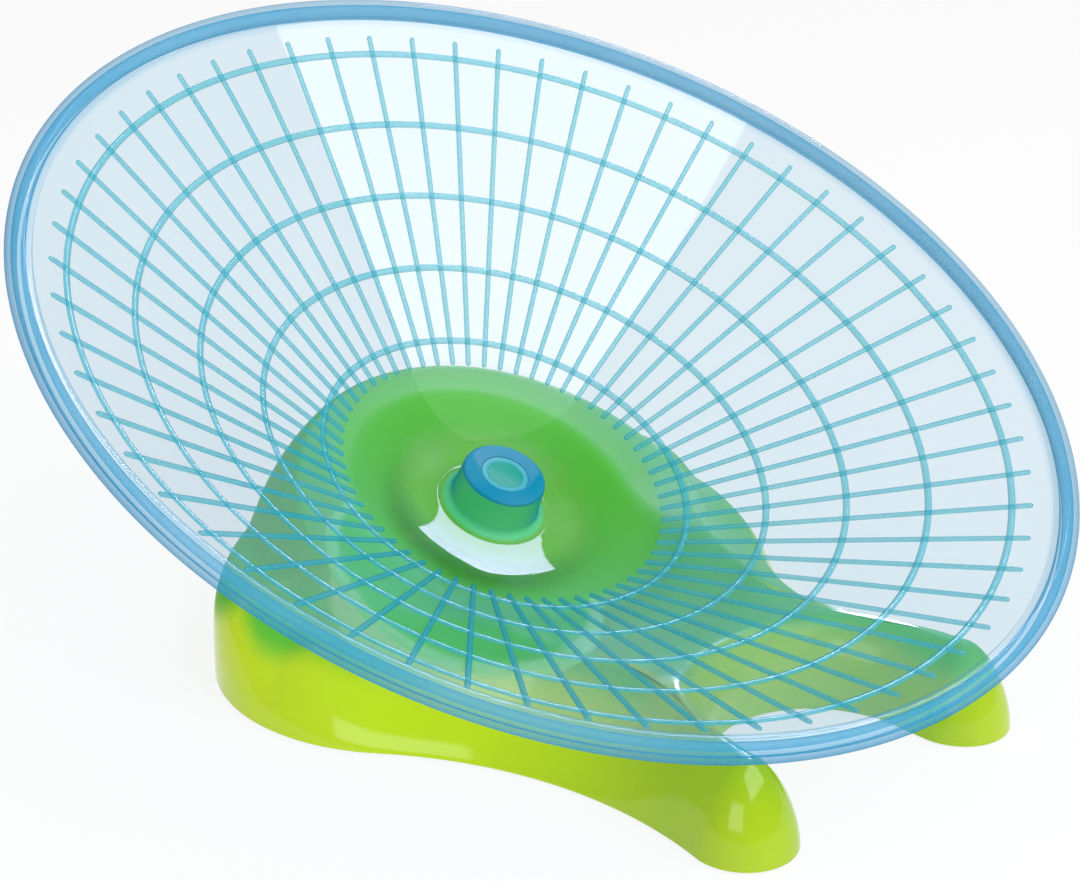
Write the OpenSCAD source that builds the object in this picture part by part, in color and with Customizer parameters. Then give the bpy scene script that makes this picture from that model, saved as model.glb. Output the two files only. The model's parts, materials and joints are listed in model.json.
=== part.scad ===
// Hamster saucer wheel: a shallow running dish that spins about a tilted axis
// on two small ball bearings, carried by a low moulded base with two front legs.
// Millimetres, +Z up, the front is -Y, the base stands on Z = 0 and the whole
// object is centred on the Z axis.

/* [Dish] */
// Outer diameter of the dish
rim_d = 297; // [286:1:320]
// Diameter of the rolled bead along the rim
bead_d = 7; // [6:0.5:9]
// Wall thickness of the dish
dish_wall = 2; // [1.6:0.1:2.6]
// Slope of the running wall above the rim plane, degrees
wall_slope = 30.7; // [28:0.1:33]
// Diameter of the bowl-shaped floor inside the wall
floor_d = 92; // [80:1:104]
// Depth of the floor's outer edge below the middle of the dish
dish_depth = 57.6; // [54:0.1:61]
// How far the floor sinks below its outer edge at the hub
floor_sink = 10; // [7:0.5:11]
// Tilt of the spin axis towards the front, degrees
tilt = 25.6; // [22:0.1:28]
// Height of the middle of the dish above the table
rim_height = 95.6; // [94:0.1:105]

/* [Treads] */
// Number of radial treads
tread_count = 60; // [40:1:72]
// Number of ring treads
ring_count = 5; // [3:1:6]
// Distance of the outermost ring tread from the edge of the dish
ring_margin = 16.5; // [14:0.5:20]
// Distance of the innermost ring tread from the edge of the floor
ring_gap = 7.6; // [6:0.1:10]
// How far the radial treads run on past the outermost ring tread
tread_over = 5; // [3:0.5:6]
// Distance of the radial treads' inner ends from the edge of the floor
tread_gap = 1; // [0.5:0.1:2]
// Width of a radial tread
tread_w = 1.5; // [1.2:0.1:2.4]
// Width of a ring tread
ring_w = 2; // [1.2:0.1:2.6]
// Height of a radial tread above the wall
tread_h = 1; // [0.6:0.1:1.4]
// Height of a ring tread above the wall
ring_h = 0.8; // [0.5:0.1:1.2]

/* [Hub] */
// Diameter of the hub's flat top
hub_top_d = 24; // [22.5:0.5:26]
// Diameter of the hub at the floor
hub_foot_d = 28; // [26:0.5:30]
// Height of the hub above the middle of the floor
hub_rise = 12; // [11:0.5:14]
// Diameter of the cap in the hub's top
cap_d = 14; // [12.5:0.5:16]
// Thickness of the cap's disc
cap_t = 1.3; // [1:0.1:1.6]

/* [Bearings] */
// Outer diameter of a ball bearing
bearing_d = 19; // [19:0.5:20]
// Bore of a ball bearing
bearing_bore = 6; // [5:0.5:6.5]
// Width of a ball bearing
bearing_w = 6; // [5.5:0.1:6.5]
// Diameter of a ball
ball_d = 3.5; // [3:0.1:3.6]
// Number of balls in a bearing
ball_count = 7; // [5:1:8]
// Length of the spacer between the bearings
spacer_l = 2; // [1.5:0.1:3]
// Radial play between a ball and its grooves
ball_play = 0.03; // [0.02:0.01:0.06]

/* [Spindle] */
// Diameter of the spindle's flange
flange_d = 18; // [15:0.5:22]
// Thickness of the spindle's flange
flange_t = 2.6; // [2:0.1:4]
// Diameter of the stem that is pressed into the base
stem_d = 10; // [8:0.5:12]
// Length of the stem below the flange
stem_l = 16; // [12:0.5:17]
// Diameter of the screws' threads
screw_d = 4; // [3:0.5:4]
// Diameter of the screws' heads
screw_head_d = 7; // [6:0.5:8]
// Diameter of the washers under the screw heads
washer_d = 10; // [9:0.5:11]
// Thickness of the washers
washer_t = 1; // [0.8:0.1:1.4]

/* [Base] */
// Wall thickness of the base shell
base_wall = 2.5; // [2:0.1:3]
// Gap between the dish and the crater in the base
dish_gap = 2.5; // [2:0.1:4]
// Radius of the dome under the dish
dome_r = 70; // [66:1:72]
// Distance of the dome's middle behind the Z axis
dome_y = 33; // [29:0.5:36]
// Height of the dome's middle above the table
dome_z = 7.3; // [4:0.1:9]
// Radius of the rear outline
rear_r = 104; // [98:1:110]
// Radius of the bulging hips
hip_r = 54; // [50:0.5:58]
// Distance of a hip's middle from the centre plane
hip_x = 37; // [34:0.5:40]
// Distance of a hip's middle behind the Z axis
hip_y = 24; // [18:0.5:28]
// Radius of the hollow waist between hip and toe
waist_r = 106; // [98:1:125]
// Height of the deck at the hips
hip_h = 28.5; // [25:0.5:30]
// How far the rounded shoulder reaches in at the rear of the hips
hip_reach = 10; // [7:0.5:13]
// How far the sloping side reaches in at the waist
waist_reach = 27; // [22:0.5:30]
// Depth of the dome's flat top below the plane of the rim
dome_sink = 64.5; // [62:0.5:67]

/* [Toes] */
// Radius of a toe
toe_r = 13.9; // [12:0.1:15]
// Distance of a toe's middle from the centre plane
toe_x = 43; // [40:0.5:46]
// Distance of the toes' middles in front of the Z axis
toe_y = 104.5; // [98:0.5:107]
// Height of a toe
toe_h = 24.2; // [21:0.1:25.5]
// Distance of the fork's middle in front of the Z axis
fork_y = 94; // [86:0.5:98]
// How far the rounded edge reaches in between the toes
fork_reach = 10; // [7:0.5:11]

/* [Feet] */
// Diameter of a rubber foot
foot_d = 15; // [12:0.5:18]
// Height of a rubber foot's pad
foot_t = 3; // [2:0.5:5]
// How far the pads lift the base off the table
foot_lift = 0.6; // [0.4:0.1:1.5]
// Diameter of the plug on a rubber foot
plug_d = 5; // [4:0.5:7]
// Length of the plug on a rubber foot
plug_l = 7; // [4:0.5:9]
// Distance of a rear foot's middle from the edge of the hip
foot_inset = 16; // [14:0.5:20]
// Direction from a hip's middle to the rear foot, degrees towards the rear
foot_turn = 35.2; // [20:0.1:45]

/* [Hidden] */

// Smoothness of round faces
round_fn = 96;

// The dish is described in its own frame, whose Z axis is the spin axis: the rim's bead lies close to z = 0
rim_r = rim_d / 2;
wall_rise = tan(wall_slope);
floor_r = floor_d / 2;
floor_edge_z = -dish_depth;
function wall_z(r) = (r - floor_r) * wall_rise + floor_edge_z;
hub_foot_r = hub_foot_d / 2;
hub_top_r = hub_top_d / 2;
floor_mid_z = floor_edge_z - floor_sink;
hub_top_z = floor_mid_z + hub_rise;
// A bowl whose slope grows evenly from the hub to the floor's edge
floor_flat = 0.12;
function floor_z(r) = let (t = (r - hub_foot_r) / (floor_r - hub_foot_r))
    floor_mid_z + floor_sink * (floor_flat * t + (1 - floor_flat) * t * t);

// Places along the spin axis
cap_ledge_z = hub_top_z - cap_t;
hub_top_t = 2;
bearing_sink = 6.5;
upper_top_z = hub_top_z - bearing_sink;
upper_z = upper_top_z - bearing_w;
lower_top_z = upper_z - spacer_l;
lower_z = lower_top_z - bearing_w;
// The dish's collar reaches a little below the bearing and clears the spindle's flange
collar_l = 0.8;
collar_z = lower_z - collar_l;
shoulder_l = 1.4;
flange_top_z = lower_z - shoulder_l;
seat_z = flange_top_z - flange_t;
stem_end_z = seat_z - stem_l;

module on_axis() {
    translate([0, 0, rim_height]) rotate([tilt, 0, 0]) children();
}

// Profile points along an arc, from angle a to angle b
function arc(c, r, a, b, n) = [for (i = [0:n]) let (t = a + (b - a) * i / n) c + r * [cos(t), sin(t)]];
function towards(v) = atan2(v[1], v[0]);

// Dish: one revolved profile with bowl floor, straight running wall and rolled rim
bead_r = bead_d / 2;
// The middle of the wall's thickness runs through the middle of the bead
wall_t = dish_wall / cos(wall_slope);
bead_x = rim_r - bead_r;
bead_c = [bead_x, wall_z(bead_x) - wall_t / 2];
// The rolled bead is a little thinner than the wall
bead_wall = 0.8 * dish_wall;
module running_dish() {
    floor_n = 10;
    lip_end = -75;
    curl_r = bead_r - bead_wall;
    half_wall = dish_wall / 2;
    floor_top = [for (i = [0:floor_n]) let (r = hub_foot_r + (floor_r - hub_foot_r) * i / floor_n)
        [r, floor_z(r)]];
    floor_under = [for (i = [floor_n:-1:0]) let (r = hub_foot_r + (floor_r - hub_foot_r) * i / floor_n)
        [r, floor_z(r) - wall_t]];
    // The wall rolls over into the bead, whose lip ends below
    rim_top = arc(bead_c, bead_r, 180 + wall_slope - asin(half_wall / bead_r), lip_end, 24);
    rim_under = arc(bead_c, curl_r, lip_end, 180 + wall_slope + asin(half_wall / curl_r), 14);
    color([0.55, 0.82, 0.93, 0.55]) on_axis() difference() {
        rotate_extrude($fn = round_fn * 2) polygon(concat(
            [[0, hub_top_z], [hub_top_r, hub_top_z], [hub_foot_r - 1, floor_mid_z + 1]],
            floor_top, rim_top, rim_under, floor_under,
            [[hub_foot_r - 1, floor_mid_z - wall_t - 0.6], [hub_foot_r - 1, collar_z], [0, collar_z]]));
        translate([0, 0, collar_z - 1])
            cylinder(r = bearing_d / 2, h = upper_top_z - collar_z + 1, $fn = round_fn);
        translate([0, 0, upper_top_z - 1])
            cylinder(r = cap_d / 2 + 0.6, h = hub_top_z - hub_top_t - upper_top_z + 1, $fn = round_fn);
        translate([0, 0, hub_top_z - hub_top_t - 1])
            cylinder(r = cap_d / 2 - 1, h = hub_top_t + 1, $fn = round_fn);
        translate([0, 0, cap_ledge_z]) cylinder(r = cap_d / 2, h = cap_t + 1, $fn = round_fn);
    }
}

// Treads: straight radial bars with round ends, crossed by ring treads
module tread_grid() {
    // The flat bars lie this far off the round wall, so that they touch it without cutting in
    seat_play = 0.03;
    ring_r = rim_r - ring_margin;
    ring_pitch = (ring_r - floor_r - ring_gap) / (ring_count - 1);
    tread_in_r = floor_r + tread_gap;
    tread_l = (ring_r + tread_over - tread_in_r) / cos(wall_slope) - tread_w;
    color([0.25, 0.72, 0.85, 0.8]) on_axis() {
        for (i = [0:tread_count - 1]) rotate([0, 0, (i + 0.5) * 360 / tread_count])
            translate([tread_in_r, 0, wall_z(tread_in_r)]) rotate([0, -wall_slope, 0])
                translate([tread_w / 2, 0, seat_play]) linear_extrude(tread_h) {
                    translate([0, -tread_w / 2]) square([tread_l, tread_w]);
                    circle(d = tread_w, $fn = 24);
                    translate([tread_l, 0]) circle(d = tread_w, $fn = 24);
                }
        for (i = [0:ring_count - 1]) let (r = ring_r - i * ring_pitch)
            rotate_extrude($fn = round_fn * 2) translate([r, wall_z(r)]) rotate(wall_slope)
                translate([-ring_w / 2, seat_play]) square([ring_w, ring_h]);
    }
}

// Cap: a disc with a shallow dished face, snapped into the hub's top
module hub_cap() {
    cap_play = 0.1;
    cap_r = cap_d / 2 - cap_play;
    plug_r = cap_d / 2 - 1 - cap_play;
    plug_wall = 1;
    plug_end_z = hub_top_z - hub_top_t - 1.6;
    barb = 0.35;
    color([0.2, 0.68, 0.72, 0.8]) on_axis() rotate_extrude($fn = round_fn) polygon([
        [0, cap_ledge_z], [plug_r - plug_wall, cap_ledge_z], [plug_r - plug_wall, plug_end_z],
        [plug_r - 0.2, plug_end_z], [plug_r + barb, hub_top_z - hub_top_t - 0.7],
        [plug_r, hub_top_z - hub_top_t - 0.2], [plug_r, cap_ledge_z],
        [cap_r, cap_ledge_z], [cap_r, hub_top_z - 0.2], [cap_r - 0.2, hub_top_z],
        [cap_r - 1.4, hub_top_z], [cap_r - 1.9, hub_top_z - 0.4], [0, hub_top_z - 0.4]]);
}

// Spindle: a turned steel axle with a shoulder for the bearings, a flange that
// seats in the crater and a stem that is pressed into the base
module spindle() {
    shoulder_r = bearing_bore / 2 + 1.25;
    axle_end_z = upper_top_z - 0.3;
    chamfer = 0.5;
    bore_r = screw_d / 2 * 0.85;
    color("silver") on_axis() rotate_extrude($fn = round_fn) polygon([
        [bore_r, axle_end_z], [bearing_bore / 2 - chamfer / 2, axle_end_z],
        [bearing_bore / 2, axle_end_z - chamfer / 2], [bearing_bore / 2, lower_z],
        [shoulder_r, lower_z], [shoulder_r, flange_top_z], [flange_d / 2 - chamfer, flange_top_z],
        [flange_d / 2, flange_top_z - chamfer], [flange_d / 2, seat_z], [stem_d / 2, seat_z],
        [stem_d / 2, stem_end_z + chamfer], [stem_d / 2 - chamfer, stem_end_z],
        [bore_r, stem_end_z], [bore_r, stem_end_z + stem_l - 4], [0, stem_end_z + stem_l - 4],
        [0, lower_top_z], [bore_r, lower_top_z]]);
}

// A pan-head screw with a cross slot, its head resting on z = 0 and its shank below
module pan_screw(shank_l) {
    head_h = 2.4;
    slot_w = 0.8;
    slot_depth = 1.2;
    color("gainsboro") difference() {
        rotate_extrude($fn = 48) polygon(concat(
            [[0, -shank_l], [screw_d / 2 * 0.8 - 0.3, -shank_l], [screw_d / 2 * 0.8, 0.3 - shank_l],
             [screw_d / 2 * 0.8, 0], [screw_head_d / 2, 0], [screw_head_d / 2, head_h / 2]],
            [for (i = [1:4]) [screw_head_d / 2 * cos(i * 18), head_h / 2 + head_h / 2 * sin(i * 18)]],
            [[0, head_h]]));
        for (turn = [0, 90]) rotate([0, 0, turn])
            translate([-screw_head_d * 0.32, -slot_w / 2, head_h - slot_depth])
                cube([screw_head_d * 0.64, slot_w, slot_depth + 1]);
    }
}

module flat_washer(hole_d, outer_d) {
    color("gainsboro") difference() {
        cylinder(r = outer_d / 2, h = washer_t, $fn = 64);
        translate([0, 0, -1]) cylinder(r = hole_d / 2, h = washer_t + 2, $fn = 64);
    }
}
module retaining_washer() on_axis() translate([0, 0, upper_top_z]) flat_washer(screw_d + 0.3, washer_d);
module retaining_screw() on_axis() translate([0, 0, upper_top_z + washer_t]) pan_screw(8);
module spindle_washer() on_axis() translate([0, 0, boss_end_z - washer_t]) flat_washer(screw_d + 0.3, stem_d + 5);
module spindle_screw() on_axis() translate([0, 0, boss_end_z - washer_t]) mirror([0, 0, 1]) pan_screw(9);

module bearing_spacer() {
    color("silver") on_axis() translate([0, 0, upper_z - spacer_l]) difference() {
        cylinder(r = bearing_bore / 2 + 1.2, h = spacer_l, $fn = 64);
        translate([0, 0, -1]) cylinder(r = bearing_bore / 2, h = spacer_l + 2, $fn = 64);
    }
}

// Ball bearing, resting on z = 0: grooved races, balls in a riveted cage, two shields
pitch_r = (bearing_d + bearing_bore) / 4;
race_t = (bearing_d - bearing_bore) / 4 - ball_d / 2;
groove_depth = 0.5;
groove_r = ball_d / 2 + ball_play;
module race(in_r, out_r) {
    chamfer = 0.3;
    difference() {
        rotate_extrude($fn = round_fn) polygon([[in_r, chamfer], [in_r + chamfer, 0],
            [out_r - chamfer, 0], [out_r, chamfer], [out_r, bearing_w - chamfer],
            [out_r - chamfer, bearing_w], [in_r + chamfer, bearing_w], [in_r, bearing_w - chamfer]]);
        translate([0, 0, bearing_w / 2]) rotate_extrude($fn = round_fn)
            translate([pitch_r, 0]) circle(r = groove_r, $fn = 32);
    }
}
module inner_race() color("lightgray") race(bearing_bore / 2, bearing_bore / 2 + race_t + groove_depth);
module outer_race() color("lightgray") race(bearing_d / 2 - race_t - groove_depth, bearing_d / 2);
module balls() {
    color("white") for (i = [0:ball_count - 1]) rotate([0, 0, 90 + i * 360 / ball_count])
        translate([pitch_r, 0, bearing_w / 2]) sphere(r = ball_d / 2, $fn = 32);
}
module cage() {
    cage_w = 1.2;
    cage_h = ball_d + 0.9;
    pocket_play = 0.08;
    color("goldenrod") difference() {
        translate([0, 0, (bearing_w - cage_h) / 2]) cylinder(r = pitch_r + cage_w / 2, h = cage_h, $fn = round_fn);
        cylinder(r = pitch_r - cage_w / 2, h = bearing_w, $fn = round_fn);
        for (i = [0:ball_count - 1]) rotate([0, 0, 90 + i * 360 / ball_count])
            translate([pitch_r - cage_w, 0, bearing_w / 2]) rotate([0, 90, 0])
                cylinder(r = ball_d / 2 + pocket_play, h = 2 * cage_w, $fn = 48);
    }
}
module shields() {
    shield_t = 0.3;
    shield_in_r = bearing_bore / 2 + race_t + groove_depth + 0.1;
    shield_out_r = bearing_d / 2 - race_t - groove_depth;
    color("darkgray") for (z = [0.15, bearing_w - 0.15 - shield_t]) translate([0, 0, z]) difference() {
        cylinder(r = shield_out_r, h = shield_t, $fn = round_fn);
        translate([0, 0, -1]) cylinder(r = shield_in_r, h = shield_t + 2, $fn = round_fn);
    }
}
module at_upper() on_axis() translate([0, 0, upper_z]) children();
module at_lower() on_axis() translate([0, 0, lower_z]) children();

// Outline of the base, right half: rear arc, bulging hip, hollow waist, round toe
// and the fork between the toes, each arc tangent to the next
hip_c = [hip_x, hip_y];
toe_c = [toe_x, -toe_y];
rear_c = [0, hip_y - sqrt(pow(rear_r - hip_r, 2) - pow(hip_x, 2))];
fork_c = [0, -fork_y];
fork_r = toe_x - toe_r;
hip_toe = norm(toe_c - hip_c);
hip_toe_dir = (toe_c - hip_c) / hip_toe;
waist_along = (pow(hip_r + waist_r, 2) - pow(toe_r + waist_r, 2) + pow(hip_toe, 2)) / (2 * hip_toe);
waist_out = sqrt(pow(hip_r + waist_r, 2) - pow(waist_along, 2));
waist_c = hip_c + waist_along * hip_toe_dir + waist_out * [-hip_toe_dir[1], hip_toe_dir[0]];

// A station of the outline is [point, outward direction]
function arc_stations(c, r, a, b, n, side) = [for (i = [0:n]) let (t = a + (b - a) * i / n)
    [c + r * [cos(t), sin(t)], side * [cos(t), sin(t)]]];
function without_last(v) = [for (i = [0:len(v) - 2]) v[i]];
outer_side = concat(
    without_last(arc_stations(rear_c, rear_r, 90, towards(hip_c - rear_c), 8, 1)),
    without_last(arc_stations(hip_c, hip_r, towards(hip_c - rear_c), towards(waist_c - hip_c), 12, 1)),
    without_last(arc_stations(waist_c, waist_r, towards(waist_c - hip_c) + 180,
        towards(toe_c - waist_c) + 360, 12, -1)),
    arc_stations(toe_c, toe_r, towards(waist_c - toe_c), -90, 9, 1));
toe_n = 8;
inner_side = concat(
    arc_stations(toe_c, toe_r, -100, -180, toe_n, 1),
    arc_stations(fork_c, fork_r, 0, 90, 9, -1));

// How a shoulder rises at a station: [reach, power] of a superellipse
function ease(t) = let (u = max(0, min(1, t))) u * u * (3 - 2 * u);
function mix(a, b, t) = a + (b - a) * t;
toe_reach = toe_r - 0.8;
hip_shape = [hip_reach, 3.5];
flank_shape = [waist_reach, 1.6];
waist_shape = [waist_reach, 1.3];
toe_shape = [toe_reach, 1.6];
fork_shape = [fork_reach, 2];
// Places along Y, from the rear forwards, between which one shape turns into the next
hip_end = hip_y + 30;
flank_at = hip_y - 4;
waist_at = hip_y - 44;
toe_from = 46 - toe_y;
toe_full = 8 - toe_y;
function step(y, from, to) = ease((from - y) / (from - to));
function outer_shape(p) = let (
        flank = mix(hip_shape, flank_shape, step(p[1], hip_end, flank_at)),
        waist = mix(flank, waist_shape, step(p[1], flank_at, waist_at)))
    mix(waist, toe_shape, step(p[1], toe_from, toe_full));
function inner_shape(i) = mix(toe_shape, fork_shape, ease((i - toe_n) / 3));
half_outline = concat(
    [for (s = outer_side) [s[0], s[1], outer_shape(s[0])]],
    [for (i = [0:len(inner_side) - 1]) [inner_side[i][0], inner_side[i][1], inner_shape(i)]]);
function mirrored(s) = [[-s[0][0], s[0][1]], [-s[1][0], s[1][1]], s[2]];
half_n = len(half_outline);
outline = concat(half_outline, [for (i = [half_n - 2:-1:1]) mirrored(half_outline[i])]);

deck_rise = (hip_h - toe_h) / (hip_y + toe_y);
function deck_z(p) = toe_h + (p[1] + toe_y) * deck_rise;

// Rings of points from the table up over the shoulder to the deck, set in by inset
shoulder_n = 7;
open_below = -5;
function ring_point(s, k, inset) = let (
        a = 90 * k / shoulder_n,
        reach = s[2][0] - inset,
        power = 2 / s[2][1],
        along = reach * (1 - pow(cos(a), power)),
        p = s[0] - s[1] * (inset + along),
        top = deck_z(s[0] - s[1] * s[2][0]) - inset,
        foot = inset > 0 ? open_below : foot_lift)
    [p[0], p[1], k == 0 ? foot : foot + (top - foot) * pow(sin(a), power)];
module skirt(inset) {
    n = len(outline);
    points = [for (k = [0:shoulder_n]) for (s = outline) ring_point(s, k, inset)];
    sides = [for (k = [0:shoulder_n - 1]) for (i = [0:n - 1]) let (j = (i + 1) % n)
        each [[k * n + i, k * n + j, (k + 1) * n + j], [k * n + i, (k + 1) * n + j, (k + 1) * n + i]]];
    polyhedron(points, concat(sides,
        [[for (i = [n - 1:-1:0]) i]], [[for (i = [0:n - 1]) shoulder_n * n + i]]));
}

// A ball cut off flat under the dish
module dome(inset) difference() {
    translate([0, dome_y, dome_z]) sphere(r = dome_r - inset, $fn = 56);
    on_axis() translate([0, 0, -dome_sink - inset]) cylinder(r = rim_r, h = rim_r, $fn = round_fn);
}

// The room that the dish needs: a flat seat for the spindle, then a cone that follows the wall
module crater(inset) {
    far_r = rim_r + 20;
    drop = (dish_wall + dish_gap + inset) / cos(wall_slope);
    floor_at = seat_z - inset;
    corner_r = (floor_at + drop - floor_edge_z) / wall_rise + floor_r;
    on_axis() rotate_extrude($fn = round_fn) polygon([[0, floor_at], [corner_r, floor_at],
        [far_r, wall_z(far_r) - drop], [far_r, rim_r], [0, rim_r]]);
}

rear_foot = hip_c + (hip_r - foot_inset) * [cos(foot_turn), sin(foot_turn)];
module each_foot() for (side = [-1, 1]) {
    translate([side * toe_x, -toe_y, 0]) children();
    translate([side * rear_foot[0], rear_foot[1], 0]) children();
}
boss_r = stem_d / 2 + 4;
boss_end_z = stem_end_z - 0.5;
rib_t = 2;
rib_clear = 9;
fit_play = 0.05;
// The ribs keep this far away from the washer and the screw under the boss
rib_play = 0.8;
module base_shell() {
    tall = 100;
    wide = 2 * rim_d;
    // The moulding's free-form faces have no exact form: with no size, resize() keeps it as one mesh
    color([0.72, 0.85, 0.12, 0.85]) resize([0, 0, 0]) difference() {
        union() {
            skirt(0);
            dome(0);
        }
        translate([-wide / 2, -wide / 2, foot_lift - tall]) cube([wide, wide, tall]);
        crater(0);
        difference() {
            union() {
                skirt(base_wall);
                dome(base_wall);
            }
            crater(base_wall);
            on_axis() translate([0, 0, boss_end_z]) cylinder(r = boss_r, h = tall, $fn = 64);
            each_foot() translate([0, 0, foot_t]) cylinder(r = foot_d / 2 - 0.5, h = tall, $fn = 36);
            translate([-rib_t / 2, -toe_y, rib_clear]) cube([rib_t, 2 * toe_y, tall]);
            translate([-hip_x - hip_r, dome_y, rib_clear]) cube([2 * (hip_x + hip_r), rib_t, tall]);
        }
        on_axis() translate([0, 0, boss_end_z - 1])
            cylinder(r = stem_d / 2 + fit_play, h = seat_z - boss_end_z + 2, $fn = 64);
        on_axis() translate([0, 0, boss_end_z - tall]) cylinder(r = boss_r + rib_play, h = tall, $fn = 64);
        each_foot() cylinder(r = plug_d / 2 + fit_play, h = foot_t + plug_l + 0.5, $fn = 32);
    }
}
module foot(x, y) {
    chamfer = 0.5;
    color("dimgray") translate([x, y, 0]) rotate_extrude($fn = 64) polygon([
        [0, 0], [foot_d / 2 - chamfer, 0], [foot_d / 2, chamfer], [foot_d / 2, foot_t],
        [plug_d / 2, foot_t], [plug_d / 2, foot_t + plug_l - chamfer],
        [plug_d / 2 - chamfer, foot_t + plug_l], [0, foot_t + plug_l]]);
}

base_shell();
running_dish();
tread_grid();
hub_cap();
spindle();
spindle_screw();
spindle_washer();
retaining_screw();
retaining_washer();
bearing_spacer();
at_upper() inner_race();  // upper_inner_race
at_upper() outer_race();  // upper_outer_race
at_upper() cage();  // upper_cage
at_upper() balls();  // upper_balls
at_upper() shields();  // upper_shields
at_lower() inner_race();  // lower_inner_race
at_lower() outer_race();  // lower_outer_race
at_lower() cage();  // lower_cage
at_lower() balls();  // lower_balls
at_lower() shields();  // lower_shields
foot(-toe_x, -toe_y);  // foot_front_left
foot(toe_x, -toe_y);  // foot_front_right
foot(-rear_foot[0], rear_foot[1]);  // foot_rear_left
foot(rear_foot[0], rear_foot[1]);  // foot_rear_right
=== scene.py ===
import json
import math
import bpy
import bmesh
import numpy as np
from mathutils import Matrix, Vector


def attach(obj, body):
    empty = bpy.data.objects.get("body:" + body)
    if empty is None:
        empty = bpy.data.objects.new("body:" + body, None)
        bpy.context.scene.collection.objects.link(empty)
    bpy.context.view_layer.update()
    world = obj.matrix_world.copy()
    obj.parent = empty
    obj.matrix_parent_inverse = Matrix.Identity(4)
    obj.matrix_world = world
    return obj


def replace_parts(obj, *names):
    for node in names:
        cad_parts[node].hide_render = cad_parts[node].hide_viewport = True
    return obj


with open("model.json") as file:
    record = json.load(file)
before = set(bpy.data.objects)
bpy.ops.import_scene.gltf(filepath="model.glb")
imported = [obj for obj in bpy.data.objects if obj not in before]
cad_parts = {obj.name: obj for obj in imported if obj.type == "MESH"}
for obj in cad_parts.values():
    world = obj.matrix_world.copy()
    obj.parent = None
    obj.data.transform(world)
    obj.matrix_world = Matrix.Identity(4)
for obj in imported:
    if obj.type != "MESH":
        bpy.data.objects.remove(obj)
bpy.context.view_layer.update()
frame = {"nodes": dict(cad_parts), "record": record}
nodes = frame["nodes"]
scene = bpy.context.scene
print("packed model loaded,", len(nodes), "nodes")


def aim(thing, place, ahead):
    # a camera or a lamp at a place, looking along a direction with its top up
    scene.collection.objects.link(thing)
    thing.location = place
    thing.rotation_mode = "QUATERNION"
    thing.rotation_quaternion = Vector(ahead).to_track_quat("-Z", "Y")


# Camera
cameraSettings = {
    "place": (-0.41938, -0.42127, 0.30397), "nearest": 0.01,     # metres
    "ahead": (0.6460165, 0.6641671, -0.3762243),
    "lens": 78.31, "sensor": 36.0,     # mm
}
cameraData = bpy.data.cameras.new("camera")
cameraData.lens = cameraSettings["lens"]
cameraData.sensor_width = cameraSettings["sensor"]
cameraData.clip_start = cameraSettings["nearest"]
scene.camera = bpy.data.objects.new("camera", cameraData)
aim(scene.camera, cameraSettings["place"], cameraSettings["ahead"])
scene.view_settings.view_transform = "Standard"
print("camera ready")

# The dish's own frame: its axis leans forward about the X axis, and the rim's bead lies close to z = 0
spinFrame = {"tilt": math.radians(25.6), "height": 95.6}
spinCos, spinSin = math.cos(spinFrame["tilt"]), math.sin(spinFrame["tilt"])


def fromDish(points):
    # a turn by the tilt about X, then a lift to the rim's height
    x, y, z = points[..., 0], points[..., 1], points[..., 2]
    return np.stack([x, y * spinCos - z * spinSin, y * spinSin + z * spinCos + spinFrame["height"]], -1)


# Mesh helpers: everything is worked out in millimetres and written in metres
millimetre = 0.001
meshing = {"merge": 2e-6, "shortest": 1e-6}     # metres


def gridQuads(rows, columns, closedRows=False, closedColumns=False):
    # one quad for each step along both parameters; a closed parameter also joins its last line to its first
    i = np.arange(rows if closedRows else rows - 1)[:, None]
    j = np.arange(columns if closedColumns else columns - 1)[None, :]
    iNext, jNext = (i + 1) % rows, (j + 1) % columns
    corners = [i * columns + j, i * columns + jNext, iNext * columns + jNext, iNext * columns + j]
    return np.stack(corners, -1).reshape(-1, 4)


def joined(parts):
    # several (points, quads) pairs as one pair
    points, quads, start = [], [], 0
    for p, q in parts:
        p = p.reshape(-1, 3)
        points.append(p)
        quads.append(q + start)
        start += len(p)
    return np.concatenate(points), np.concatenate(quads)


def makePiece(name, points, quads, body, material, values=None, sharpAngle=35.0):
    # points in mm, quads as rows of four numbers, values a dictionary of one number or colour for each point
    points = points.reshape(-1, 3)
    mesh = bpy.data.meshes.new(name)
    mesh.vertices.add(len(points))
    mesh.vertices.foreach_set("co", (points * millimetre).astype(np.float32).ravel())
    mesh.loops.add(quads.size)
    mesh.loops.foreach_set("vertex_index", quads.astype(np.int32).ravel())
    mesh.polygons.add(len(quads))
    mesh.polygons.foreach_set("loop_start", np.arange(len(quads), dtype=np.int32) * 4)
    mesh.update(calc_edges=True)
    for key, numbers in (values or {}).items():
        numbers = np.asarray(numbers, np.float32)
        kind, field = ("FLOAT", "value") if numbers.size == len(points) else ("FLOAT_COLOR", "color")
        mesh.attributes.new(key, kind, "POINT").data.foreach_set(field, numbers.ravel())
    work = bmesh.new()
    work.from_mesh(mesh)
    bmesh.ops.remove_doubles(work, verts=work.verts, dist=meshing["merge"])
    bmesh.ops.dissolve_degenerate(work, edges=work.edges, dist=meshing["shortest"])
    bmesh.ops.recalc_face_normals(work, faces=work.faces)
    for face in work.faces:
        face.smooth = True
    for edge in work.edges:
        edge.smooth = len(edge.link_faces) == 2 and edge.calc_face_angle(0) < math.radians(sharpAngle)
    work.to_mesh(mesh)
    work.free()
    mesh.materials.append(material)
    piece = bpy.data.objects.new(name, mesh)
    scene.collection.objects.link(piece)
    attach(piece, body)
    return piece


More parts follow.
